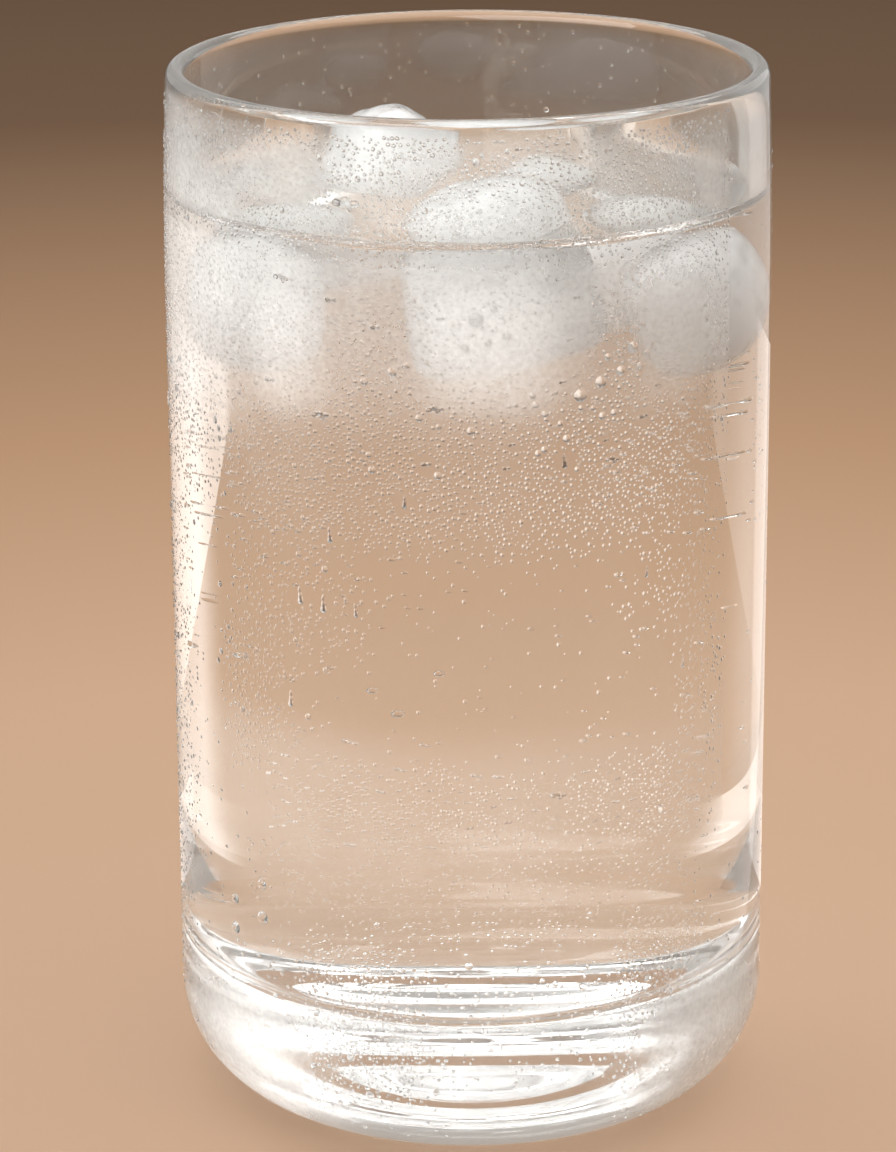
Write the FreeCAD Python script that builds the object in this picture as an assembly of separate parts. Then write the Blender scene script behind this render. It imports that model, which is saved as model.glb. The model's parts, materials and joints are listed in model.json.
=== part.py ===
import FreeCAD, Part
import math
import os

# A straight tumbler of chilled mineral water with ice floating in it.
# Millimetres, +Z up, origin at the centre of the ring that the glass stands on.
# The glass is one turned body: a heavy base with a push-up under it, a wall
# that thins towards the mouth, and a fire-polished rim.  The water fills the
# bore up to its level, climbs the wall in a meniscus, and is hollowed round
# the two ice pieces that break its surface.

# The glass
OUTER_DIAMETER = 72.0
GLASS_HEIGHT = 127.4
WALL_AT_RIM = 2.4
WALL_AT_BASE = 3.0
RIM_DRAW_IN = 0.52          # how far the outside leans in by the time it reaches the rim
DRAW_IN_HEIGHT = 25.0       # height of the stretch that leans in
BASE_CORNER_RADIUS = 13.5   # outside, between the wall and the underside
FLOOR_THICKNESS = 17.0      # solid glass under the edge of the inner floor
INNER_CORNER_RADIUS = 9.0
FLOOR_DISH = 0.6            # the inner floor sinks this much towards its middle
STANDING_RING_WIDTH = 4.5
PUSH_UP_DEPTH = 1.4         # hollow under the base, inside the standing ring

# The water
HEADSPACE = 15.4            # from the level of the water up to the rim
MENISCUS_RISE = 1.6
MENISCUS_CONTACT_ANGLE = 30.0

# The ice: tapered cubes from a mould, with edges rounded by melting
ICE_MELT_GAP = 0.8          # water that always stays between ice and wall, and between pieces
FRONT_ICE_TOP_WIDTH = 18.0
FRONT_ICE_BASE_WIDTH = 21.0
FRONT_ICE_HEIGHT = 22.5
FRONT_ICE_ROUNDING = 6.8
FRONT_ICE_FREEBOARD = 5.2   # height that stands out of the water
FRONT_ICE_WALL_GAP = 4.5
FRONT_ICE_BEARING = -80.0   # direction from the axis, anticlockwise from +X
FRONT_ICE_TURN = (-24.0, -12.0, 0.0)

BACK_ICE_TOP_WIDTH = 14.0
BACK_ICE_BASE_WIDTH = 16.0
BACK_ICE_HEIGHT = 18.5
BACK_ICE_ROUNDING = 4.6
BACK_ICE_FREEBOARD = 7.7
BACK_ICE_WALL_GAP = 7.2
BACK_ICE_BEARING = 128.0
BACK_ICE_TURN = (20.0, 34.0, -20.0)

OUTER_RADIUS = OUTER_DIAMETER / 2
RIM_RADIUS = WALL_AT_RIM / 2
RIM_OUTER_RADIUS = OUTER_RADIUS - RIM_DRAW_IN
RIM_SPRING = GLASS_HEIGHT - RIM_RADIUS
DRAW_IN_START = RIM_SPRING - DRAW_IN_HEIGHT
CORNER_TOP = FLOOR_THICKNESS + INNER_CORNER_RADIUS
WATER_LEVEL = GLASS_HEIGHT - HEADSPACE


def at(radius, height):
    """A point of the turned half-section."""
    return FreeCAD.Vector(radius, 0, height)


def line(start, end):
    return Part.makeLine(start, end)


def arc(start, middle, end):
    return Part.Arc(start, middle, end).toShape()


def turned(edges):
    """The solid swept by a closed half-section about the glass's axis."""
    section = Part.Face(Part.Wire(Part.__sortEdges__(edges)))
    return section.revolve(FreeCAD.Vector(0, 0, 0), FreeCAD.Vector(0, 0, 1), 360)


def quarter_corner(centre, radius, start_deg, end_deg):
    """A rounded corner of the half-section, from one angle to another."""
    def point(degrees):
        angle = math.radians(degrees)
        return centre + at(radius * math.cos(angle), radius * math.sin(angle))
    return arc(point(start_deg), point((start_deg + end_deg) / 2), point(end_deg))


def draw_in(height):
    """How far the wall has leaned in at a height: nothing below, a parabola above."""
    above = max(0.0, height - DRAW_IN_START)
    return RIM_DRAW_IN * (above / DRAW_IN_HEIGHT) ** 2


def wall_thickness(height):
    """The wall thins evenly from the top of the inner corner to the rim."""
    share = (height - CORNER_TOP) / (RIM_SPRING - CORNER_TOP)
    return WALL_AT_BASE + (WALL_AT_RIM - WALL_AT_BASE) * share


def bore_point(height, gap=0.0):
    """A point on the inner wall, or a gap inside it."""
    radius = OUTER_RADIUS - draw_in(height) - wall_thickness(height)
    return at(radius - gap, height)


def bore_below(height, gap=0.0):
    """Edges of the inner floor and wall, from the axis up to a height."""
    corner_centre = bore_point(CORNER_TOP) - at(INNER_CORNER_RADIUS, 0)
    corner_radius = INNER_CORNER_RADIUS - gap
    floor_middle = at(0, FLOOR_THICKNESS - FLOOR_DISH + gap)
    floor_edge = corner_centre - at(0, corner_radius)
    floor_half = at(floor_edge.x / 2, floor_edge.z - 0.75 * (floor_edge.z - floor_middle.z))
    edges = [
        arc(floor_middle, floor_half, floor_edge),
        quarter_corner(corner_centre, corner_radius, -90, 0),
    ]
    straight_top = min(height, DRAW_IN_START)
    edges.append(line(bore_point(CORNER_TOP, gap), bore_point(straight_top, gap)))
    if height > DRAW_IN_START:
        half_way = (DRAW_IN_START + height) / 2
        edges.append(arc(bore_point(DRAW_IN_START, gap), bore_point(half_way, gap),
                         bore_point(height, gap)))
    return edges


def make_glass():
    """Underside, outer corner, outer wall, rim, then back down the bore."""
    ring_outer = OUTER_RADIUS - BASE_CORNER_RADIUS
    ring_inner = ring_outer - STANDING_RING_WIDTH
    push_up_half = at(ring_inner / 2, 0.75 * PUSH_UP_DEPTH)
    draw_in_half = (DRAW_IN_START + RIM_SPRING) / 2
    outside = [
        arc(at(0, PUSH_UP_DEPTH), push_up_half, at(ring_inner, 0)),
        line(at(ring_inner, 0), at(ring_outer, 0)),
        quarter_corner(at(ring_outer, BASE_CORNER_RADIUS), BASE_CORNER_RADIUS, -90, 0),
        line(at(OUTER_RADIUS, BASE_CORNER_RADIUS), at(OUTER_RADIUS, DRAW_IN_START)),
        arc(at(OUTER_RADIUS, DRAW_IN_START),
            at(OUTER_RADIUS - draw_in(draw_in_half), draw_in_half),
            at(RIM_OUTER_RADIUS, RIM_SPRING)),
    ]
    rim = quarter_corner(at(RIM_OUTER_RADIUS - RIM_RADIUS, RIM_SPRING), RIM_RADIUS, 0, 180)
    core = line(at(0, FLOOR_THICKNESS - FLOOR_DISH), at(0, PUSH_UP_DEPTH))
    return turned(outside + [rim] + bore_below(RIM_SPRING) + [core])


def make_still_water():
    """The full bore up to the water level, with the meniscus climbing the wall."""
    contact = math.radians(MENISCUS_CONTACT_ANGLE)
    swing = math.pi / 2 - contact
    bend = MENISCUS_RISE / (1 - math.cos(swing))
    wall_end = bore_point(WATER_LEVEL + MENISCUS_RISE)
    level_end = at(wall_end.x - bend * math.sin(swing), WATER_LEVEL)
    middle = level_end + at(bend * math.sin(swing / 2), bend * (1 - math.cos(swing / 2)))
    surface = [
        arc(wall_end, middle, level_end),
        line(level_end, at(0, WATER_LEVEL)),
        line(at(0, WATER_LEVEL), at(0, FLOOR_THICKNESS - FLOOR_DISH)),
    ]
    return turned(bore_below(WATER_LEVEL + MENISCUS_RISE) + surface)


def make_ice_room():
    """Where ice can lie: the bore drawn in by the melt gap, open above."""
    top = at(0, RIM_SPRING)
    close = [
        line(bore_point(RIM_SPRING, ICE_MELT_GAP), top),
        line(top, at(0, FLOOR_THICKNESS - FLOOR_DISH + ICE_MELT_GAP)),
    ]
    return turned(bore_below(RIM_SPRING, ICE_MELT_GAP) + close)


def square(width, height):
    half = width / 2
    corners = [(-half, -half), (half, -half), (half, half), (-half, half), (-half, -half)]
    return Part.makePolygon([FreeCAD.Vector(x, y, height) for x, y in corners])


def ice_cube(top_width, base_width, height, rounding):
    """A tapered moulded cube about its own middle, all its edges melted round."""
    outlines = [square(base_width, -height / 2), square(top_width, height / 2)]
    block = Part.makeLoft(outlines, True, True)
    return block.makeFillet(rounding, block.Edges)


def afloat(cube, base_width, rounding, turn, bearing, wall_gap, freeboard):
    """The cube turned, set in from the wall by its gap, and floated at its height."""
    reach = (base_width / 2 - rounding) * math.sqrt(2) + rounding
    distance = bore_point(WATER_LEVEL).x - wall_gap - reach
    direction = math.radians(bearing)
    piece = cube.copy()
    piece.Placement = FreeCAD.Placement(FreeCAD.Vector(0, 0, 0), FreeCAD.Rotation(*turn))
    lift = WATER_LEVEL + freeboard - piece.optimalBoundingBox(False).ZMax
    piece.translate(FreeCAD.Vector(distance * math.cos(direction),
                                   distance * math.sin(direction), lift))
    return piece


def front_ice(growth=0.0):
    """The piece nearer the front; growth swells it evenly, to keep others clear of it."""
    cube = ice_cube(FRONT_ICE_TOP_WIDTH + 2 * growth, FRONT_ICE_BASE_WIDTH + 2 * growth,
                    FRONT_ICE_HEIGHT + 2 * growth, FRONT_ICE_ROUNDING + growth)
    return afloat(cube, FRONT_ICE_BASE_WIDTH + 2 * growth, FRONT_ICE_ROUNDING + growth,
                  FRONT_ICE_TURN, FRONT_ICE_BEARING, FRONT_ICE_WALL_GAP - growth,
                  FRONT_ICE_FREEBOARD + growth)


def back_ice():
    cube = ice_cube(BACK_ICE_TOP_WIDTH, BACK_ICE_BASE_WIDTH,
                    BACK_ICE_HEIGHT, BACK_ICE_ROUNDING)
    return afloat(cube, BACK_ICE_BASE_WIDTH, BACK_ICE_ROUNDING, BACK_ICE_TURN,
                  BACK_ICE_BEARING, BACK_ICE_WALL_GAP, BACK_ICE_FREEBOARD)


def solid_of(shape):
    """The one solid in a result of cutting."""
    return max(shape.Solids, key=lambda solid: solid.Volume)


def build():
    room = make_ice_room()
    ice_front = solid_of(front_ice().common(room))
    ice_back = solid_of(back_ice().common(room).cut(front_ice(ICE_MELT_GAP)))
    water = solid_of(make_still_water().cut([ice_front, ice_back]))
    return {"glass": make_glass(), "water": water,
            "ice_front": ice_front, "ice_back": ice_back}


os.makedirs("parts", exist_ok=True)
for node, shape in build().items():
    shape.exportStep("parts/" + node + ".step")
    box = shape.optimalBoundingBox(False)
    print(node, "valid", shape.isValid(), "volume", round(shape.Volume),
          "x", round(box.XMin, 2), round(box.XMax, 2), "y", round(box.YMin, 2),
          round(box.YMax, 2), "z", round(box.ZMin, 2), round(box.ZMax, 2))
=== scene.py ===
import json
import math

import bpy
import numpy as np
from mathutils import Matrix, Vector

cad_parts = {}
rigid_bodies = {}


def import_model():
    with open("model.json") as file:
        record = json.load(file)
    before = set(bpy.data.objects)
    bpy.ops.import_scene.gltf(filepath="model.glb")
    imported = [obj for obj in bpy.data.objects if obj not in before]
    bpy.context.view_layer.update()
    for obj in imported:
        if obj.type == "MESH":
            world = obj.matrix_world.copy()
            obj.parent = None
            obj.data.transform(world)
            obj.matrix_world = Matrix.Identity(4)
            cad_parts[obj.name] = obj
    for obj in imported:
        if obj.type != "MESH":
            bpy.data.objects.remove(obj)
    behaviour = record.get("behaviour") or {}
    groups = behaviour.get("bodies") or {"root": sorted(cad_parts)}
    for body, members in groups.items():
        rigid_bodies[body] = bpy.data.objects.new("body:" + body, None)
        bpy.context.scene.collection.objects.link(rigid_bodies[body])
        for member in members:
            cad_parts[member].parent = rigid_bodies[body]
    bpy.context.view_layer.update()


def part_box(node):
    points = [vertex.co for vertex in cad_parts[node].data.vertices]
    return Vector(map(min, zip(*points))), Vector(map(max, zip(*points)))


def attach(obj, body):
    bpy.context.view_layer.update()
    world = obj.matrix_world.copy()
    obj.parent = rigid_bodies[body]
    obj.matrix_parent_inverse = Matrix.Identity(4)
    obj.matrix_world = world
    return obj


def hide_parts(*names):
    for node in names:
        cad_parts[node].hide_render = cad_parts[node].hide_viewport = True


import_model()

scene = bpy.context.scene
scene.view_settings.view_transform = "Standard"
# Light has to find its way through glass, water, ice and drops behind each other.
scene.cycles.max_bounces = 32
scene.cycles.glossy_bounces = 32
scene.cycles.transmission_bounces = 32
scene.cycles.transparent_max_bounces = 32
scene.cycles.use_light_tree = False


# ---------------------------------------------------------------------------
# The camera: a long lens at table distance, looking about 18 degrees down on
# the front of the glass, with the rim as a flat ellipse at the top.
# ---------------------------------------------------------------------------
glass_low, glass_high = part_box("glass")
glass_height = glass_high.z
camera_distance = 0.5158
camera_pitch = math.radians(17.62)
camera_roll = math.radians(-0.34)
camera_aim = Vector((-0.00263, 0, 0.503 * glass_height))
sensor_width = 36
lens_length = 132.43

camera = bpy.data.objects.new("camera", bpy.data.cameras.new("camera"))
scene.collection.objects.link(camera)
scene.camera = camera
camera.data.sensor_width = sensor_width
camera.data.lens = lens_length
camera.data.clip_start = 0.01
looking = Vector((0, math.cos(camera_pitch), -math.sin(camera_pitch)))
camera.location = camera_aim - camera_distance * looking
camera.rotation_euler = (Matrix.Rotation(math.pi / 2 - camera_pitch, 3, "X")
                         @ Matrix.Rotation(camera_roll, 3, "Z")).to_euler()


# ---------------------------------------------------------------------------
# The table: one pale warm top, plain, that falls off into a quieter brown far
# behind: a painted falloff of light round the glass.  Half of its look to the eye
# and in glass is a painted glow of that colour.  It keeps the shadow of the glass.
# ---------------------------------------------------------------------------
table_size = 40.0
table_roughness = 0.9
# metres from the glass, and the paint's colour there, darkening far off as a painted falloff of
# light
table_paint_and_painted_falloff = [(0.00, (0.64, 0.43, 0.295)), (0.15, (0.60, 0.385, 0.25)),
                 (0.30, (0.455, 0.27, 0.156)), (0.60, (0.150, 0.086, 0.047)),
                 (1.00, (0.10, 0.058, 0.032))]
# the share of its look to the eye and in glass that is a painted glow of its colour, not lamp
# light
table_painted_glow_share = 0.5


def table_material():
    """Matt warm paint, darkened away from the glass as a painted falloff of light; half of its
    look to the eye and in glass is a painted glow of that colour, the same under any lamp.
    """
    material = bpy.data.materials.new("table_top")
    material.use_nodes = True
    nodes, links = material.node_tree.nodes, material.node_tree.links
    paint = nodes["Principled BSDF"]
    paint.inputs["Roughness"].default_value = table_roughness
    place = nodes.new("ShaderNodeTexCoord")
    distance = nodes.new("ShaderNodeVectorMath")
    distance.operation = "LENGTH"
    links.new(place.outputs["Object"], distance.inputs[0])
    # painted falloff: the colour by distance from the glass, pale near it and brown far off
    fade = nodes.new("ShaderNodeValToRGB")
    ramp = fade.color_ramp
    while len(ramp.elements) < len(table_paint_and_painted_falloff):
        ramp.elements.new(0.5)
    for element, (position, colour) in zip(ramp.elements, table_paint_and_painted_falloff):
        element.position = position
        element.color = (*colour, 1)
    links.new(distance.outputs["Value"], fade.inputs["Fac"])
    links.new(fade.outputs["Color"], paint.inputs["Base Color"])
    # painted glow: the ramp's colour shown as light of its own to the eye and in glass
    painted_glow = nodes.new("ShaderNodeEmission")
    links.new(fade.outputs["Color"], painted_glow.inputs["Color"])
    path = nodes.new("ShaderNodeLightPath")
    seen = path.outputs["Is Camera Ray"]
    for kind in ("Is Glossy Ray", "Is Transmission Ray"):
        either = nodes.new("ShaderNodeMath")
        either.operation = "MAXIMUM"
        links.new(seen, either.inputs[0])
        links.new(path.outputs[kind], either.inputs[1])
        seen = either.outputs["Value"]
    share = nodes.new("ShaderNodeMath")
    share.operation = "MULTIPLY"
    share.inputs[1].default_value = table_painted_glow_share
    links.new(seen, share.inputs[0])
    mix = nodes.new("ShaderNodeMixShader")
    links.new(share.outputs["Value"], mix.inputs["Fac"])
    links.new(paint.outputs["BSDF"], mix.inputs[1])
    links.new(painted_glow.outputs["Emission"], mix.inputs[2])
    links.new(mix.outputs["Shader"], nodes["Material Output"].inputs["Surface"])
    return material


bpy.ops.object.select_all(action="DESELECT")
bpy.ops.mesh.primitive_plane_add(size=table_size)
table = bpy.context.object
table.name = "table_top"
table.data.materials.append(table_material())


# ---------------------------------------------------------------------------
# The light: a dim room and a wide soft lamp overhead.  A lamp from the front
# left and pairs of white panels beside the glass light only the glass, which
# is full of water and bends the panels round into its bright edges.
# ---------------------------------------------------------------------------
room_colour = (0.90, 0.86, 0.82)
room_level = 0.52
# place, what it faces, width, depth and radiance
overhead_lamp = ((0, 0.1, 0.9), (0, 0.1, 0), 1.6, 1.6, 1.25)
front_lamp = ((-0.46, -0.53, 0.62), (0, 0, 0.1), 1.2, 0.8, 3.9)
# each pair, given for its right one: near end and far end on the table, height,
# radiance of the left and the right one, and the share of its width that is feathered
panels = {"panel_side": ((0.062, -0.020), (0.130, 0.300), 0.20, (0.12, 0.46), 0.15),
          "panel_low": ((0.090, 0.055), (0.0030, 0.060), 0.078, (0.07, 0.52), 0.09),
          "panel_base": ((0.092, 0.052), (0.0030, 0.066), 0.013, (0.50, 0.15), 0.09)}

world = bpy.data.worlds.new("room")
scene.world = world
world.use_nodes = True
room = world.node_tree.nodes["Background"]
room.inputs["Color"].default_value = (*room_colour, 1)
room.inputs["Strength"].default_value = room_level


def soft_panel(name, place, towards, width, height, radiance, feather=0.0):
    """A rectangular lamp aimed at a point, whose two upright ends may be feathered."""
    lamp = bpy.data.objects.new(name, bpy.data.lights.new(name, "AREA"))
    scene.collection.objects.link(lamp)
    lamp.data.shape = "RECTANGLE"
    lamp.data.size = width
    lamp.data.size_y = height
    lamp.data.energy = radiance * width * height * math.pi
    lamp.location = place
    lamp.rotation_euler = (Vector(place) - Vector(towards)).to_track_quat("Z", "Y").to_euler()
    lamp.visible_camera = False
    if feather:
        lamp.data.use_nodes = True
        nodes, links = lamp.data.node_tree.nodes, lamp.data.node_tree.links
        spot = nodes.new("ShaderNodeNewGeometry")
        split = nodes.new("ShaderNodeSeparateXYZ")
        links.new(spot.outputs["Parametric"], split.inputs["Vector"])
        off_middle = nodes.new("ShaderNodeMath")
        off_middle.operation = "SUBTRACT"
        off_middle.inputs[1].default_value = 0.5
        links.new(split.outputs["X"], off_middle.inputs[0])
        apart = nodes.new("ShaderNodeMath")
        apart.operation = "ABSOLUTE"
        links.new(off_middle.outputs["Value"], apart.inputs[0])
        fade = nodes.new("ShaderNodeMapRange")
        fade.interpolation_type = "SMOOTHSTEP"
        fade.inputs["From Min"].default_value = 0.5 - feather
        fade.inputs["From Max"].default_value = 0.5
        fade.inputs["To Min"].default_value = 1.0
        fade.inputs["To Max"].default_value = 0.0
        links.new(apart.outputs["Value"], fade.inputs["Value"])
        links.new(fade.outputs["Result"], nodes["Emission"].inputs["Strength"])
    return lamp


glass_only = bpy.data.collections.new("lit_by_the_panels")
for name, (near, far, height, radiances, feather) in panels.items():
    run = Vector(far) - Vector(near)
    middle = (Vector(near) + Vector(far)) / 2
    for side, label, radiance in zip((-1, 1), ("_left", "_right"), radiances):
        place = (side * middle.x, middle.y, height / 2)
        inwards = (place[0] - side * run.y, place[1] + run.x, place[2])
        lamp = soft_panel(name + label, place, inwards, run.length, height, radiance, feather)
        lamp.light_linking.receiver_collection = glass_only
soft_panel("panel_overhead", *overhead_lamp)
lamp = soft_panel("panel_front", *front_lamp)
lamp.light_linking.receiver_collection = glass_only


# ---------------------------------------------------------------------------
# The tumbler: clear soda-lime glass pressed and turned in one piece, with a
# heavy rounded base, a slight push-up under it and a fire-polished rim.  Cold
# has misted its outside; the rim and the inside stay bright.
# ---------------------------------------------------------------------------
outer_radius = (glass_high.x - glass_low.x) / 2
wall_at_rim = 0.0024
wall_at_base = 0.0030
rim_draw_in = 0.00052
draw_in_height = 0.025
base_corner_radius = 0.0135
floor_thickness = 0.017
inner_corner_radius = 0.009
floor_dish = 0.0006
standing_ring_width = 0.0045
push_up_depth = 0.0014
rim_radius = wall_at_rim / 2
rim_spring = glass_height - rim_radius
corner_top = floor_thickness + inner_corner_radius
meniscus_rise = 0.0016
water_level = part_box("water")[1].z - meniscus_rise
turning_steps = 256
weld_distance = 0.000002
crease_angle = math.radians(40)

glass_ior = 1.5
water_ior = 1.333
glass_tint = (0.972, 0.994, 0.988)
# noise in the mist: scale and detail, then the noise from and to, and the share of mist it leaves
mist_patch_noise, mist_patch_shares = (70, 4.0, (1, 1, 0.5)), (0.35, 0.62, 0.70, 1.0)
mist_grain_noise, mist_grain_shares = (1500, 2.0), (0.3, 0.7, 0.75, 1.0)
misted_roughness = 0.36
thick_mist, clearness_in_thick_mist = 0.9, 0.12


def outer_wall_radius(height):
    above = max(0.0, height - (rim_spring - draw_in_height))
    return outer_radius - rim_draw_in * (above / draw_in_height) ** 2


def bore_radius(height):
    share = (height - corner_top) / (rim_spring - corner_top)
    return outer_wall_radius(height) - wall_at_base - (wall_at_rim - wall_at_base) * share


def round_corner(centre_radius, centre_height, radius, start, end, count):
    angles = [math.radians(start + (end - start) * i / count) for i in range(count + 1)]
    return [(centre_radius + radius * math.cos(a), centre_height + radius * math.sin(a))
            for a in angles]


def heights(low, high, count):
    return [low + (high - low) * i / count for i in range(count + 1)]


def bore_outline(top, reach):
    """From the middle of the inner floor up the bore; reach goes that far into the glass."""
    corner_middle = bore_radius(corner_top) - inner_corner_radius
    floor_points = [(corner_middle * i / 8,
                     floor_thickness - floor_dish * (1 - (i / 8) ** 2) - reach) for i in range(8)]
    corner = round_corner(corner_middle, corner_top, inner_corner_radius + reach, -90, 0, 16)
    wall = [(bore_radius(h) + reach, h) for h in heights(corner_top, top, 24)[1:]]
    return floor_points + corner + wall


def spun(name, outline):
    """Draws a half outline point by point and spins it once round the axis."""
    bpy.ops.object.select_all(action="DESELECT")
    bpy.ops.mesh.primitive_plane_add(size=0.001)
    piece = bpy.context.object
    piece.name = name
    piece.data.name = name
    bpy.ops.object.mode_set(mode="EDIT")
    bpy.ops.mesh.merge(type="CENTER")
    bpy.ops.transform.translate(value=(outline[0][0], 0, outline[0][1]))
    for (radius, height), (next_radius, next_height) in zip(outline, outline[1:]):
        bpy.ops.mesh.extrude_vertices_move(
            TRANSFORM_OT_translate={"value": (next_radius - radius, 0, next_height - height)})
    bpy.ops.mesh.select_all(action="SELECT")
    bpy.ops.mesh.spin(steps=turning_steps, angle=2 * math.pi, center=(0, 0, 0), axis=(0, 0, 1))
    bpy.ops.mesh.select_all(action="SELECT")
    bpy.ops.mesh.remove_doubles(threshold=weld_distance)
    bpy.ops.mesh.normals_make_consistent(inside=False)
    bpy.ops.object.mode_set(mode="OBJECT")
    bpy.ops.object.shade_smooth_by_angle(angle=crease_angle)
    return piece


def clear_shader(shader, ior):
    shader.inputs["Base Color"].default_value = (1, 1, 1, 1)
    shader.inputs["Roughness"].default_value = 0.0
    shader.inputs["IOR"].default_value = ior
    shader.inputs["Transmission Weight"].default_value = 1.0


def noise(nodes, links, scale, detail, stretch=None):
    """A noise pattern in the piece's own space, wavelengths per metre, as a number from 0 to 1."""
    place = nodes.new("ShaderNodeTexCoord")
    source = place.outputs["Object"]
    if stretch:
        mapping = nodes.new("ShaderNodeMapping")
        mapping.inputs["Scale"].default_value = stretch
        links.new(source, mapping.inputs["Vector"])
        source = mapping.outputs["Vector"]
    pattern = nodes.new("ShaderNodeTexNoise")
    pattern.inputs["Scale"].default_value = scale
    pattern.inputs["Detail"].default_value = detail
    links.new(source, pattern.inputs["Vector"])
    return pattern.outputs["Fac"]


def spread(nodes, links, value, low, high, start, end):
    """Takes low..high to start..end, held at the ends."""
    fit = nodes.new("ShaderNodeMapRange")
    fit.inputs["From Min"].default_value = low
    fit.inputs["From Max"].default_value = high
    fit.inputs["To Min"].default_value = start
    fit.inputs["To Max"].default_value = end
    links.new(value, fit.inputs["Value"])
    return fit.outputs["Result"]


def product(nodes, links, one, other):
    times = nodes.new("ShaderNodeMath")
    times.operation = "MULTIPLY"
    links.new(one, times.inputs[0])
    links.new(other, times.inputs[1])
    return times.outputs["Value"]


def glass_material():
    """Glass against air, misted where mist is set, and far weaker where water lies on it."""
    material = bpy.data.materials.new("glass")
    material.use_nodes = True
    nodes, links = material.node_tree.nodes, material.node_tree.links
    against_air = nodes["Principled BSDF"]
    clear_shader(against_air, glass_ior)
    against_air.inputs["Base Color"].default_value = (*glass_tint, 1)
    mist = nodes.new("ShaderNodeAttribute")
    mist.attribute_name = "mist"
    patches = spread(nodes, links, noise(nodes, links, *mist_patch_noise), *mist_patch_shares)
    grain = spread(nodes, links, noise(nodes, links, *mist_grain_noise), *mist_grain_shares)
    film = product(nodes, links, product(nodes, links, mist.outputs["Fac"], patches), grain)
    dulled = spread(nodes, links, film, 0.0, 1.0, 0.0, misted_roughness)
    links.new(dulled, against_air.inputs["Roughness"])
    clearness = spread(nodes, links, film, 0.0, thick_mist, 1.0, clearness_in_thick_mist)
    links.new(clearness, against_air.inputs["Transmission Weight"])
    against_water = nodes.new("ShaderNodeBsdfPrincipled")
    clear_shader(against_water, glass_ior / water_ior)
    wetted = nodes.new("ShaderNodeAttribute")
    wetted.attribute_name = "wetted"
    mix = nodes.new("ShaderNodeMixShader")
    links.new(wetted.outputs["Fac"], mix.inputs["Fac"])
    links.new(against_air.outputs["BSDF"], mix.inputs[1])
    links.new(against_water.outputs["BSDF"], mix.inputs[2])
    links.new(mix.outputs["Shader"], nodes["Material Output"].inputs["Surface"])
    return material


ring_outer = outer_radius - base_corner_radius
ring_inner = ring_outer - standing_ring_width
glass_outline = [(ring_inner * i / 8, push_up_depth * (1 - (i / 8) ** 2)) for i in range(9)]
glass_outline += round_corner(ring_outer, base_corner_radius, base_corner_radius, -90, 0, 24)
glass_outline += [(outer_wall_radius(h), h)
                  for h in heights(base_corner_radius, rim_spring, 80)[1:]]
glass_outline += round_corner(outer_wall_radius(rim_spring) - rim_radius, rim_spring,
                              rim_radius, 0, 180, 16)[1:]
glass_outline += list(reversed(bore_outline(rim_spring, 0.0)))[1:]
tumbler = spun("tumbler", glass_outline)
tumbler.data.materials.append(glass_material())

# how thick the mist is at each height, from 0 to 1
mist_levels = [(0.0, 0.12), (0.012, 0.14), (0.024, 0.10), (0.032, 0.06), (0.042, 0.20),
               (0.052, 0.18), (0.058, 0.02), (0.074, 0.04), (0.090, 0.14), (0.098, 0.36),
               (0.110, 0.38), (0.118, 0.27), (0.1245, 0.32), (0.1258, 0.0)]
# thicker patches: degrees round from the front, height, half width, half height, level
mist_patches = [(-68, 0.107, 27, 0.019, 0.80), (-40, 0.1205, 26, 0.0045, 0.50),
                (-36, 0.101, 16, 0.009, 0.58), (6, 0.1020, 20, 0.0085, 0.78),
                (40, 0.102, 16, 0.0100, 0.52), (50, 0.119, 9, 0.0060, 0.50),
                (-52, 0.010, 26, 0.011, 0.70), (54, 0.010, 24, 0.011, 0.85),
                (120, 0.105, 30, 0.016, 0.50), (-130, 0.105, 34, 0.016, 0.50)]
dry_below_rim = 0.0009
# along the water line the glass stays clearer: how far above it, over what height, how much
clearer_line = (0.0007, 0.0013, 0.62)
# a side that was wiped: degrees from and to, the height it starts at, what mist it kept
wiped_side = (56, 86, 0.035, 0.2)
# the back is misted less: degrees round where it starts and is full, what mist it has
misted_behind = ((88, 112), 0.45)
# how near a face of the tumbler is to its bore, or a point to its outside, to count as on it
bore_margin = 0.0004
level_margin = 0.001
outside_margin = 0.0002
standing_margin = 0.0005


def mist_amount(angle, height):
    """How misted the outside is, from 0 to 1; angle is in degrees round from the front."""
    level = np.interp(height, *zip(*mist_levels))
    for patch_angle, middle, half_width, half_height, thick in mist_patches:
        across = (angle - patch_angle + 180) % 360 - 180
        near = math.exp(-(across / half_width) ** 2 - ((height - middle) / half_height) ** 4)
        level = max(level, thick * near)
    if height > rim_spring - dry_below_rim:
        level = 0.0
    above_level, half_width, share = clearer_line
    level *= 1 - share * math.exp(-((height - water_level - above_level) / half_width) ** 2)
    first, last, foot, kept = wiped_side
    if first < angle < last and height > foot:
        level *= kept
    return level * np.interp(abs(angle), misted_behind[0], (1.0, misted_behind[1]))


wetted = tumbler.data.attributes.new("wetted", "FLOAT", "FACE")
mist = tumbler.data.attributes.new("mist", "FLOAT", "POINT")
for face in tumbler.data.polygons:
    centre = face.center
    inside = (math.hypot(centre.x, centre.y)
              < bore_radius(max(centre.z, corner_top)) + bore_margin)
    if inside and floor_thickness - level_margin < centre.z < water_level + level_margin:
        wetted.data[face.index].value = 1.0
for vertex in tumbler.data.vertices:
    place = vertex.co
    if (math.hypot(place.x, place.y) > outer_wall_radius(place.z) - outside_margin
            or standing_margin < place.z < base_corner_radius):
        turn = math.degrees(math.atan2(place.x, -place.y))
        mist.data[vertex.index].value = float(mist_amount(turn, place.z))
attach(tumbler, "root")
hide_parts("glass")


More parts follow.
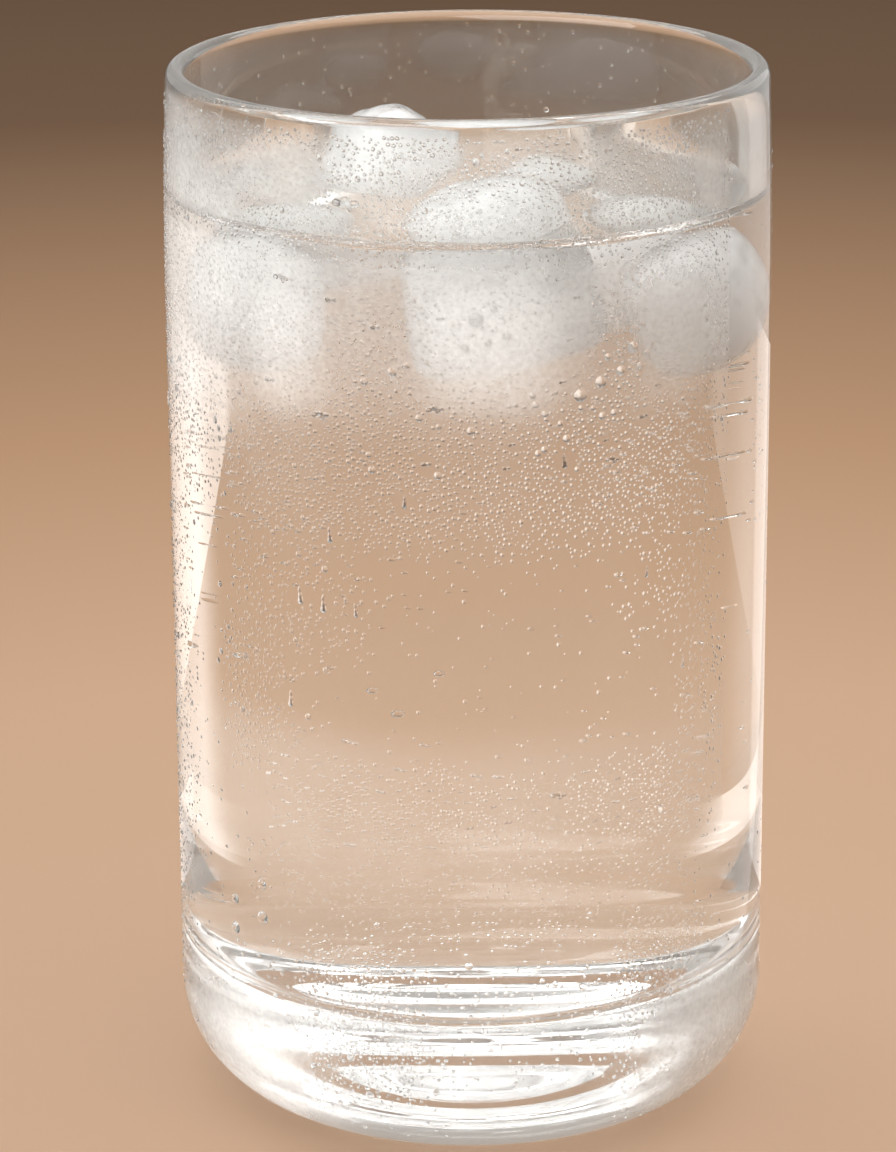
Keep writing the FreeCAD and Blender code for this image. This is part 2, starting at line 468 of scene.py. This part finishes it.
# ---------------------------------------------------------------------------
# The water: still mineral water, clear and cold, poured up to just under the
# rim.  It wets the glass, so that its edge climbs the wall in a meniscus.
# ---------------------------------------------------------------------------
wall_reach = 0.00025
contact_swing = math.radians(60)


def clear_material(name, ior):
    material = bpy.data.materials.new(name)
    material.use_nodes = True
    clear_shader(material.node_tree.nodes["Principled BSDF"], ior)
    return material


def unseen_material(name):
    """For the side of a piece that lies against something that bends light as it does."""
    material = bpy.data.materials.new(name)
    material.use_nodes = True
    nodes, links = material.node_tree.nodes, material.node_tree.links
    nodes.remove(nodes["Principled BSDF"])
    see_through = nodes.new("ShaderNodeBsdfTransparent")
    links.new(see_through.outputs["BSDF"], nodes["Material Output"].inputs["Surface"])
    return material


meniscus_bend = meniscus_rise / (1 - math.cos(contact_swing))
water_outline = bore_outline(water_level + meniscus_rise, wall_reach)
level_end = water_outline[-1][0] - wall_reach - meniscus_bend * math.sin(contact_swing)
swings = [contact_swing * (1 - i / 10) for i in range(11)]
water_outline += [(level_end + meniscus_bend * math.sin(a),
                   water_level + meniscus_bend * (1 - math.cos(a))) for a in swings]
water_outline += [(level_end * (1 - i / 12), water_level) for i in range(1, 13)]
water = spun("water_body", water_outline)
water.data.materials.append(clear_material("water_surface", water_ior))
water.data.materials.append(unseen_material("water_in_contact"))
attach(water, "root")
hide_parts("water")


# ---------------------------------------------------------------------------
# The front ice: a moulded cube of frozen water, melted round, that breaks the
# surface.  Its skin is clear and wet; its heart is white with trapped air.
# ---------------------------------------------------------------------------
melt_texture_size = 0.010
melt_softening = 3
ice_ior = 1.31
# noise on the skin: scale and detail, then the noise from and to, and the roughness it gives
skin_dull_noise, skin_roughness = (260, 2.0), (0.4, 0.7, 0.02, 0.22)
dimple_noise, dimple_strength, dimple_depth = (420, 3.0), 0.6, 0.0006
heart_roughness = 0.7
heart_scatter_depth = 0.02
heart_tones = ((0.992, 0.994, 0.995), (1.0, 0.99, 0.98))
heart_tone_noise = (160, 2.0, (1, 1, 0.5))
# how solid the heart looks from its face to its edge, and in its cloudy patches
heart_edge_blend, heart_edge = 0.35, (0.15, 0.80, 1.0, 0.0)
heart_cloud_noise, heart_cloud = (330, 3.0), (0.3, 0.7, 0.92, 1.30)
# top width, base width, height, rounding, wear, and turns about z, y and x
front_ice_form = (0.0182, 0.0214, 0.0228, 0.0062, 0.0009, (-24, -12, 0))
front_skin_thickness = 0.0011


def melted_cube(name, top_width, base_width, height, rounding, wear, turn, middle):
    """A tapered cube with its edges melted round, worn uneven, turned (z, y, x) and placed."""
    bpy.ops.object.select_all(action="DESELECT")
    bpy.ops.mesh.primitive_cube_add(size=1)
    cube = bpy.context.object
    cube.name = name
    cube.data.name = name
    mesh = cube.data
    bpy.ops.object.mode_set(mode="EDIT")
    bpy.ops.mesh.select_all(action="SELECT")
    bpy.ops.transform.resize(value=(base_width, base_width, height))
    bpy.ops.mesh.select_all(action="DESELECT")
    bpy.ops.object.mode_set(mode="OBJECT")
    for face in mesh.polygons:
        face.select = face.normal.z > 0.9
    bpy.ops.object.mode_set(mode="EDIT")
    bpy.ops.transform.resize(value=(top_width / base_width, top_width / base_width, 1))
    bpy.ops.mesh.select_all(action="SELECT")
    bpy.ops.mesh.bevel(offset=rounding, offset_type="OFFSET", segments=3, affect="EDGES")
    for degrees, axis in zip(reversed(turn), "XYZ"):
        bpy.ops.transform.rotate(value=-math.radians(degrees), orient_axis=axis,
                                 center_override=(0, 0, 0))
    bpy.ops.mesh.normals_make_consistent(inside=False)
    bpy.ops.object.mode_set(mode="OBJECT")
    soft = cube.modifiers.new("softening", "SUBSURF")
    soft.levels = melt_softening
    soft.render_levels = melt_softening
    bpy.ops.object.modifier_apply(modifier="softening")
    texture = bpy.data.textures.new(name + "_melt", "CLOUDS")
    texture.noise_scale = melt_texture_size
    worn = cube.modifiers.new("melting", "DISPLACE")
    worn.texture = texture
    worn.texture_coords = "LOCAL"
    worn.strength = wear
    worn.mid_level = 0.5
    bpy.ops.object.modifier_apply(modifier="melting")
    bpy.ops.object.shade_smooth()
    corners = np.array([vertex.co[:] for vertex in mesh.vertices])
    centre = (corners.min(axis=0) + corners.max(axis=0)) / 2
    bpy.ops.object.mode_set(mode="EDIT")
    bpy.ops.mesh.select_all(action="SELECT")
    bpy.ops.transform.translate(value=Vector(middle) - Vector(centre))
    bpy.ops.object.mode_set(mode="OBJECT")
    return cube


def ice_heart(name, skin, inset):
    """The white inside of a piece of ice: its skin drawn in by an inset."""
    heart = skin.copy()
    heart.data = skin.data.copy()
    heart.name = name
    heart.data.name = name
    scene.collection.objects.link(heart)
    bpy.ops.object.select_all(action="DESELECT")
    bpy.context.view_layer.objects.active = heart
    heart.select_set(True)
    bpy.ops.object.mode_set(mode="EDIT")
    bpy.ops.mesh.select_all(action="SELECT")
    bpy.ops.transform.shrink_fatten(value=-inset)
    bpy.ops.object.mode_set(mode="OBJECT")
    return heart


def ice_skin_material():
    """Wet clear ice with shallow melt dimples."""
    material = clear_material("ice_skin", ice_ior)
    nodes, links = material.node_tree.nodes, material.node_tree.links
    skin = nodes["Principled BSDF"]
    dulled = spread(nodes, links, noise(nodes, links, *skin_dull_noise), *skin_roughness)
    links.new(dulled, skin.inputs["Roughness"])
    dimples = nodes.new("ShaderNodeBump")
    dimples.inputs["Strength"].default_value = dimple_strength
    dimples.inputs["Distance"].default_value = dimple_depth
    links.new(noise(nodes, links, *dimple_noise), dimples.inputs["Height"])
    links.new(dimples.outputs["Normal"], skin.inputs["Normal"])
    return material


def ice_heart_material():
    """White with trapped air, lit through and through, and thinning out towards its edges."""
    material = bpy.data.materials.new("ice_heart")
    material.use_nodes = True
    nodes, links = material.node_tree.nodes, material.node_tree.links
    white = nodes["Principled BSDF"]
    white.inputs["Roughness"].default_value = heart_roughness
    white.inputs["Subsurface Weight"].default_value = 1.0
    white.inputs["Subsurface Radius"].default_value = (1.0, 1.0, 1.0)
    white.inputs["Subsurface Scale"].default_value = heart_scatter_depth
    tone = nodes.new("ShaderNodeValToRGB")
    for element, colour in zip(tone.color_ramp.elements, heart_tones):
        element.color = (*colour, 1)
    links.new(noise(nodes, links, *heart_tone_noise), tone.inputs["Fac"])
    links.new(tone.outputs["Color"], white.inputs["Base Color"])
    edge = nodes.new("ShaderNodeLayerWeight")
    edge.inputs["Blend"].default_value = heart_edge_blend
    fading = spread(nodes, links, edge.outputs["Facing"], *heart_edge)
    cloud = spread(nodes, links, noise(nodes, links, *heart_cloud_noise), *heart_cloud)
    clear = nodes.new("ShaderNodeBsdfTransparent")
    mix = nodes.new("ShaderNodeMixShader")
    links.new(product(nodes, links, fading, cloud), mix.inputs["Fac"])
    links.new(clear.outputs["BSDF"], mix.inputs[1])
    links.new(white.outputs["BSDF"], mix.inputs[2])
    links.new(mix.outputs["Shader"], nodes["Material Output"].inputs["Surface"])
    return material


def middle_of(node):
    low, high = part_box(node)
    return (low + high) / 2


skin_look = ice_skin_material()
heart_look = ice_heart_material()
ice_front = melted_cube("ice_front_skin", *front_ice_form, middle_of("ice_front"))
ice_front_heart = ice_heart("ice_front_heart", ice_front, front_skin_thickness)
ice_front.data.materials.append(skin_look)
ice_front.data.materials.append(unseen_material("ice_front_in_contact"))
ice_front_heart.data.materials.append(heart_look)
for piece in (ice_front, ice_front_heart):
    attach(piece, "root")
    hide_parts("ice_front")


# ---------------------------------------------------------------------------
# The back ice: a smaller cube of the same ice, one corner up, that stands high
# on the ice under it and shows over the rim.
# ---------------------------------------------------------------------------
back_ice_form = (0.0142, 0.0162, 0.0188, 0.0042, 0.0008, (20, 34, -20))
back_skin_thickness = 0.0009

ice_back = melted_cube("ice_back_skin", *back_ice_form, middle_of("ice_back"))
ice_back_heart = ice_heart("ice_back_heart", ice_back, back_skin_thickness)
ice_back.data.materials.append(skin_look)
ice_back.data.materials.append(unseen_material("ice_back_in_contact"))
ice_back_heart.data.materials.append(heart_look)
for piece in (ice_back, ice_back_heart):
    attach(piece, "root")
    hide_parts("ice_back")


# ---------------------------------------------------------------------------
# Where ice and water meet: the water is hollowed round the two floating cubes.
# Only the water's open surface and the ice above it bend light as in air.
# ---------------------------------------------------------------------------
seam_weld = 0.00001
facing_up = 0.3
under_surface = 0.00005

for skin in (ice_front, ice_back):
    for face in skin.data.polygons:
        if face.center.z < water_level:
            face.material_index = 1
bpy.ops.object.select_all(action="DESELECT")
bpy.context.view_layer.objects.active = water
water.select_set(True)
for skin in (ice_front, ice_back):
    hollow = water.modifiers.new("hollow", "BOOLEAN")
    hollow.operation = "DIFFERENCE"
    hollow.solver = "EXACT"
    hollow.object = skin
    bpy.ops.object.modifier_apply(modifier="hollow")
bpy.ops.object.mode_set(mode="EDIT")
bpy.ops.mesh.select_all(action="SELECT")
bpy.ops.mesh.remove_doubles(threshold=seam_weld)
bpy.ops.object.mode_set(mode="OBJECT")
bpy.ops.object.shade_smooth_by_angle(angle=crease_angle)
while len(water.data.materials) > 2:
    water.data.materials.pop()
for face in water.data.polygons:
    on_top = face.normal.z > facing_up and face.center.z > water_level - under_surface
    face.material_index = 0 if on_top else 1


# ---------------------------------------------------------------------------
# The sunk ice: three more cubes under the surface, which hold the others up.
# In water only their white hearts show.
# ---------------------------------------------------------------------------
# top width, base width, height, rounding, wear, turns about z, y and x, and middle
sunk_ice = {
    "ice_sunk_left": (0.0135, 0.0155, 0.0165, 0.0055, 0.0009, (35, 22, -14),
                      (-0.0212, -0.0068, 0.1012)),
    "ice_sunk_right": (0.0135, 0.0155, 0.0170, 0.0055, 0.0009, (-22, -14, 24),
                       (0.0220, -0.0015, 0.1000)),
    "ice_sunk_back": (0.0120, 0.0135, 0.0150, 0.0050, 0.0009, (50, -22, 16),
                      (0.0100, 0.0190, 0.1010)),
}
for name, form_and_middle in sunk_ice.items():
    lump = melted_cube(name, *form_and_middle)
    lump.data.materials.append(heart_look)
    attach(lump, "root")


# ---------------------------------------------------------------------------
# The larger drops: condensed water that has run together on the cold outside
# into round drops, beans, clusters and flat dashes, and a few short trickles.
# ---------------------------------------------------------------------------
millimetre = 0.001
drop_sink = 0.00004
drop_contact = 58
drop_segments = 18
drop_tilt = 0.12
merge_voxel = 0.00009
lobe_segments, lobe_rings = 20, 12
lobe_thickness = 0.8
lobe_sink = 0.35 * millimetre
settling_factor, settling_rounds = 0.5, 8
fold_angle = math.radians(80)
# shapes that have run together, as lobes: across, up, half width, half height, in millimetres
merged_shapes = {
    "trickle": [(0, -0.75, 0.46, 0.50), (0.02, -0.1, 0.34, 0.55), (-0.03, 0.62, 0.22, 0.55)],
    "bean": [(-0.42, -0.03, 0.50, 0.42), (0.38, 0.08, 0.46, 0.36)],
    "cluster": [(-0.85, 0.0, 0.50, 0.40), (-0.05, 0.18, 0.55, 0.44), (0.78, 0.0, 0.52, 0.36),
                (0.25, -0.42, 0.36, 0.32)],
    "dash": [(-0.46, 0.02, 0.46, 0.25), (0.36, -0.02, 0.52, 0.23)],
}
# where each kind lies: degrees round from the front, height and size in millimetres
large_drops = {
    "drop": [(20, 95.9, 0.80), (24, 97.2, 0.72), (28, 98.2, 0.60), (30.5, 100.7, 0.72),
             (1, 105.2, 0.90), (6.5, 103.3, 0.52), (-1, 102.0, 0.48), (-51.5, 31.1, 0.66),
             (-43.5, 34.3, 0.68), (-51.5, 27.4, 0.76), (-43.5, 30.1, 0.85), (21.5, 116.5, 0.66),
             (-14, 99, 0.60), (38, 44.5, 0.60), (-31, 20.0, 0.62), (-20, 10.5, 0.55)],
    "trickle": [(-33, 71.5, 0.95), (-28, 71.0, 1.00), (-26.5, 79.3, 0.85), (-33.5, 66.0, 0.80),
                (-21.5, 70.7, 0.75), (-35.5, 58.7, 0.90), (-48.5, 56.8, 0.95), (17, 88.5, 0.80),
                (-12, 84.0, 0.70), (43, 62.0, 0.75), (34, 74.0, 0.65), (150, 80.0, 0.9),
                (-120, 64.0, 0.9)],
    "bean": [(-39, 96.4, 1.0), (-25.5, 106.7, 0.95), (8.8, 124.2, 0.55), (25.5, 123.4, 0.75),
             (12, 93.0, 0.8), (33, 92.5, 0.8), (-17, 104.0, 0.8), (37, 115.0, 0.7),
             (-8, 88.5, 0.75)],
    "cluster": [(-28, 93.3, 0.95), (-6.3, 94.9, 0.85), (-22.5, 117.8, 1.35), (26.5, 88.0, 0.75),
                (-36, 108.5, 0.9), (16, 48.5, 0.8), (-30, 47.0, 0.8)],
    "dash": [(-8.6, 55.1, 0.85), (-37, 51.5, 0.9), (-22.5, 54.6, 1.0), (-13.3, 51.9, 0.95),
             (-23.2, 42.0, 1.05), (50, 39.1, 0.95), (5.3, 125.1, 0.85), (1.6, 125.0, 0.70)],
}
# more of each, scattered: kind, how many, then degrees, height and size, each from and to
scattered_drops = [
    ("drop", 70, -58, 54, 86, 111, 0.32, 0.50), ("drop", 34, -56, 54, 113, 124, 0.30, 0.46),
    ("bean", 22, -52, 50, 86, 110, 0.42, 0.66), ("dash", 34, -40, 12, 42.0, 51.5, 0.55, 1.0),
    ("dash", 22, 20, 50, 42.0, 51.5, 0.55, 1.0), ("bean", 22, -42, 12, 41.5, 51.0, 0.40, 0.60),
    ("bean", 14, 20, 50, 41.5, 51.0, 0.40, 0.60), ("drop", 26, -56, -24, 55, 82, 0.28, 0.46),
    ("drop", 22, -50, 52, 8, 36, 0.30, 0.50), ("drop", 60, 90, 300, 40, 120, 0.32, 0.60),
    ("trickle", 10, 95, 300, 50, 105, 0.55, 0.85),
]
highest_drop = 125.4
# how far each kind reaches from its middle, in sizes
drop_reach = {"drop": 1.0, "trickle": 1.35, "bean": 1.35, "cluster": 1.35, "dash": 1.35}


def domed(name, segments, rings, contact_deg):
    """A drop on a wall, of radius 1: the cap of a ball that meets the glass at an angle."""
    bpy.ops.object.select_all(action="DESELECT")
    bpy.ops.mesh.primitive_uv_sphere_add(segments=segments, ring_count=rings, radius=1)
    drop = bpy.context.object
    drop.name = name
    contact = math.radians(contact_deg)
    grow = 1 / math.sin(contact)
    bpy.ops.object.mode_set(mode="EDIT")
    bpy.ops.mesh.select_all(action="SELECT")
    bpy.ops.mesh.bisect(plane_co=(0, 0, math.cos(contact)), plane_no=(0, 0, 1), use_fill=True,
                        clear_inner=True)
    bpy.ops.mesh.select_all(action="SELECT")
    bpy.ops.transform.translate(value=(0, 0, -math.cos(contact)))
    bpy.ops.transform.resize(value=(grow, grow, grow), center_override=(0, 0, 0))
    bpy.ops.mesh.normals_make_consistent(inside=False)
    bpy.ops.object.mode_set(mode="OBJECT")
    return drop


def run_together(name, lobes):
    """Flat lobes merged into one drop with a level underside, in metres."""
    bpy.ops.object.select_all(action="DESELECT")
    bpy.ops.mesh.primitive_uv_sphere_add(segments=lobe_segments, ring_count=lobe_rings,
                                         radius=millimetre)
    drop = bpy.context.object
    drop.name = name
    bpy.ops.object.mode_set(mode="EDIT")
    for number, (across, up, half_width, half_height) in enumerate(lobes):
        if number:
            bpy.ops.mesh.primitive_uv_sphere_add(segments=lobe_segments, ring_count=lobe_rings,
                                                 radius=millimetre)
        bpy.ops.transform.resize(value=(half_width, half_height, lobe_thickness * half_height),
                                 center_override=(0, 0, 0))
        bpy.ops.transform.translate(value=(across * millimetre, up * millimetre,
                                           -lobe_sink * half_height))
        bpy.ops.mesh.select_all(action="DESELECT")
    bpy.ops.object.mode_set(mode="OBJECT")
    skin = drop.modifiers.new("merging", "REMESH")
    skin.mode = "VOXEL"
    skin.voxel_size = merge_voxel
    bpy.ops.object.modifier_apply(modifier="merging")
    calm = drop.modifiers.new("surface_tension", "SMOOTH")
    calm.factor = settling_factor
    calm.iterations = settling_rounds
    bpy.ops.object.modifier_apply(modifier="surface_tension")
    bpy.ops.object.mode_set(mode="EDIT")
    bpy.ops.mesh.select_all(action="SELECT")
    bpy.ops.mesh.bisect(plane_co=(0, 0, 0), plane_no=(0, 0, 1), use_fill=True, clear_inner=True)
    bpy.ops.mesh.select_all(action="SELECT")
    bpy.ops.mesh.normals_make_consistent(inside=False)
    bpy.ops.object.mode_set(mode="OBJECT")
    return drop


def on_the_wall(points, angle, height, sink):
    """Wraps points, given across, up and out from a spot, onto the outside of the glass."""
    z = height[:, None] + points[:, :, 1]
    above = np.maximum(0.0, z - (rim_spring - draw_in_height)) / draw_in_height
    wall = outer_radius - rim_draw_in * above ** 2
    below = np.clip(base_corner_radius - z, 0.0, base_corner_radius)
    wall = wall - base_corner_radius + np.sqrt(base_corner_radius ** 2 - below ** 2)
    lean = below / base_corner_radius
    out = points[:, :, 2] - sink
    radius = wall + out * np.sqrt(1 - lean ** 2)
    z = z - out * lean
    turn = angle[:, None] + points[:, :, 0] / wall
    return np.stack([radius * np.sin(turn), -radius * np.cos(turn), z], axis=2)


def copies_as_piece(name, template, points):
    """One mesh that holds a copy of the template's faces for each set of points."""
    mesh = template.data
    corner_count = len(mesh.loops)
    corners = np.empty(corner_count, dtype=np.int32)
    mesh.loops.foreach_get("vertex_index", corners)
    starts = np.empty(len(mesh.polygons), dtype=np.int32)
    mesh.polygons.foreach_get("loop_start", starts)
    copies, per_copy = points.shape[:2]
    steps = np.arange(copies, dtype=np.int32)[:, None]
    joined = bpy.data.meshes.new(name)
    joined.vertices.add(copies * per_copy)
    joined.vertices.foreach_set("co", points.astype(np.float32).ravel())
    joined.loops.add(copies * corner_count)
    joined.loops.foreach_set("vertex_index", (corners[None, :] + steps * per_copy).ravel())
    joined.polygons.add(copies * len(starts))
    joined.polygons.foreach_set("loop_start", (starts[None, :] + steps * corner_count).ravel())
    joined.update(calc_edges=True)
    joined.validate()
    joined.shade_smooth()
    joined.set_sharp_from_angle(angle=fold_angle)
    piece = bpy.data.objects.new(name, joined)
    scene.collection.objects.link(piece)
    return piece


def turned_flat(points, size, turn):
    """Copies of a flat pattern's points, each scaled and turned in the plane of the wall."""
    x, y, out = points[None, :, 0], points[None, :, 1], points[None, :, 2]
    cos, sin = np.cos(turn)[:, None], np.sin(turn)[:, None]
    turned = np.stack([x * cos - y * sin, x * sin + y * cos, np.repeat(out, len(size), axis=0)],
                      axis=2)
    return turned * size[:, None, None]


def round_apart(one_deg, other_deg):
    """The turn from one bearing to another, the short way round, in degrees."""
    return (one_deg - other_deg + 180) % 360 - 180


draws = np.random.default_rng(11)
drop_water = clear_material("drop_water", water_ior)
taken_spots = []
for kind, reach_in_sizes in drop_reach.items():
    spots = [list(spot) for spot in large_drops[kind]]
    for scattered, count, first, last, low, high, small, large in scattered_drops:
        if scattered != kind:
            continue
        for _ in range(count):
            spots.append([draws.uniform(first, last), draws.uniform(low, high),
                          draws.uniform(small, large)])
    kept = []
    for angle_deg, height, size in spots:
        reach = size * reach_in_sizes
        near = [other for other in taken_spots
                if math.hypot(math.radians(round_apart(angle_deg, other[0]))
                              * outer_radius / millimetre, height - other[1]) < reach + other[2]]
        if not near and height < highest_drop:
            kept.append((angle_deg, height, size))
            taken_spots.append((angle_deg, height, reach))
    if kind == "drop":
        pattern = domed("drop_pattern", drop_segments, drop_segments, drop_contact)
    else:
        pattern = run_together(kind + "_pattern", merged_shapes[kind])
    pattern_points = np.array([vertex.co[:] for vertex in pattern.data.vertices])
    if kind == "drop":
        pattern_points *= millimetre
    angle, height, size = np.array(kept).T
    tilt = draws.uniform(-drop_tilt, drop_tilt, len(kept))
    points = turned_flat(pattern_points, size, tilt)
    piece = copies_as_piece("drops_" + kind, pattern,
                            on_the_wall(points, np.radians(angle), height / 1000, drop_sink))
    piece.data.materials.append(drop_water)
    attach(piece, "root")
    bpy.data.objects.remove(pattern)


# ---------------------------------------------------------------------------
# The dew: fine beads of water that have condensed on the cold outside, a
# quarter to two thirds of a millimetre across, crowded where it is coldest.
# ---------------------------------------------------------------------------
smallest_bead, largest_bead = 0.00013, 0.00030
mostly_small = 1.2
bead_tries = 260000
bead_room = 1.03
bead_to_drop_gap = 0.00022
bead_contact = 50
bead_segments, bead_rings = 6, 7
bead_width, bead_height = (0.88, 1.15), (0.85, 1.10)
bead_sink = 0.00003
beads_in_a_piece = 9000
lowest_bead = 0.003
bare_below_rim = 0.0007
sparse_dew = 0.10
# the wiped side: degrees from and to, the height it starts at, what dew it kept
wiped_dew = (56, 85, 0.035, 0.08)
# degrees round from the front, height, half width, half height, how crowded
dew_fields = [
    (-32, 0.119, 50, 0.0085, 0.95), (28, 0.119, 29, 0.0085, 0.95), (-72, 0.100, 24, 0.022, 0.70),
    (-30, 0.104, 30, 0.010, 0.95), (38, 0.104, 18, 0.012, 1.00), (10, 0.107, 14, 0.005, 0.60),
    (2, 0.088, 54, 0.0105, 1.00), (-34, 0.071, 17, 0.008, 0.55), (42, 0.072, 14, 0.008, 0.45),
    (-44, 0.058, 10, 0.012, 0.60), (48, 0.060, 9, 0.014, 0.45), (-12, 0.0465, 26, 0.0060, 1.00),
    (34, 0.0465, 17, 0.0060, 1.00), (0, 0.036, 50, 0.007, 0.45), (-22, 0.020, 14, 0.011, 0.95),
    (38, 0.020, 12, 0.012, 0.90), (0, 0.020, 60, 0.010, 0.30), (-78, 0.050, 14, 0.040, 0.40),
    (108, 0.085, 20, 0.030, 0.40), (150, 0.085, 24, 0.025, 0.32), (-135, 0.085, 35, 0.028, 0.36),
    (-110, 0.040, 16, 0.018, 0.30),
]


def crowding(angle_deg, height):
    """How likely a try is to make a bead at each spot."""
    level = np.full(angle_deg.shape, sparse_dew)
    for angle, middle, half_width, half_height, crowd in dew_fields:
        across = round_apart(angle_deg, angle)
        near = np.exp(-((across / half_width) ** 4) - ((height - middle) / half_height) ** 4)
        level = np.maximum(level, crowd * near)
    first, last, foot, kept_share = wiped_dew
    level[(angle_deg > first) & (angle_deg < last) & (height > foot)] *= kept_share
    level[height > rim_spring - bare_below_rim] = 0
    return level ** 2


def beads_apart(one, other):
    """How far two beads lie from each other over the wall; a bead is angle, height, radius."""
    across = (one[0] - other[0] + math.pi) % (2 * math.pi) - math.pi
    return math.hypot(across * outer_radius, one[1] - other[1])


def settled(beads):
    """Which beads find room: each is kept only where it clears those that came before it."""
    cell = 2 * bead_room * largest_bead
    columns = int(2 * math.pi * outer_radius / cell)
    held = {}
    kept = []
    for number, bead in enumerate(beads):
        column, row = int(bead[0] / (2 * math.pi) * columns), int(bead[1] / cell)
        near = [other for step in (-1, 0, 1) for rise in (-1, 0, 1)
                for other in held.get(((column + step) % columns, row + rise), ())]
        if all(beads_apart(bead, other) >= bead_room * (bead[2] + other[2]) for other in near):
            held.setdefault((column % columns, row), []).append(bead)
            kept.append(number)
    return np.array(kept)


spot_angle = draws.uniform(0, 2 * math.pi, bead_tries)
spot_height = draws.uniform(lowest_bead, rim_spring, bead_tries)
spot_degrees = round_apart(np.degrees(spot_angle), 0)
size = smallest_bead + (largest_bead - smallest_bead) * draws.random(bead_tries) ** mostly_small
taken = draws.random(bead_tries) < crowding(spot_degrees, spot_height)
for angle_deg, height, reach in taken_spots:
    across = np.radians(round_apart(spot_degrees, angle_deg)) * outer_radius
    taken &= (np.hypot(across, spot_height - height / 1000)
              > reach / 1000 + bead_to_drop_gap)
beads = np.stack([spot_angle, spot_height, size], axis=1)[taken]
spot_angle, spot_height, size = beads[settled(beads.tolist())].T
bead = domed("bead_pattern", bead_segments, bead_rings, bead_contact)
bead_points = np.array([vertex.co[:] for vertex in bead.data.vertices])
local = turned_flat(bead_points, size, draws.uniform(0, math.pi / 3, size.size))
local[:, :, 0] *= draws.uniform(*bead_width, size.size)[:, None]
local[:, :, 1] *= draws.uniform(*bead_height, size.size)[:, None]
placed = on_the_wall(local, spot_angle, spot_height, bead_sink)
placed = placed[np.argsort(spot_angle)]
dew = clear_material("dew", water_ior)
for number, start in enumerate(range(0, len(placed), beads_in_a_piece)):
    field = copies_as_piece("dew_%d" % (number + 1), bead,
                            placed[start:start + beads_in_a_piece])
    field.data.materials.append(dew)
    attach(field, "root")
bpy.data.objects.remove(bead)


# ---------------------------------------------------------------------------
# What the panels light: every piece of the drink and its glass, and not the
# table.
# ---------------------------------------------------------------------------
for piece in scene.objects:
    if piece.type == "MESH" and piece is not table:
        glass_only.objects.link(piece)
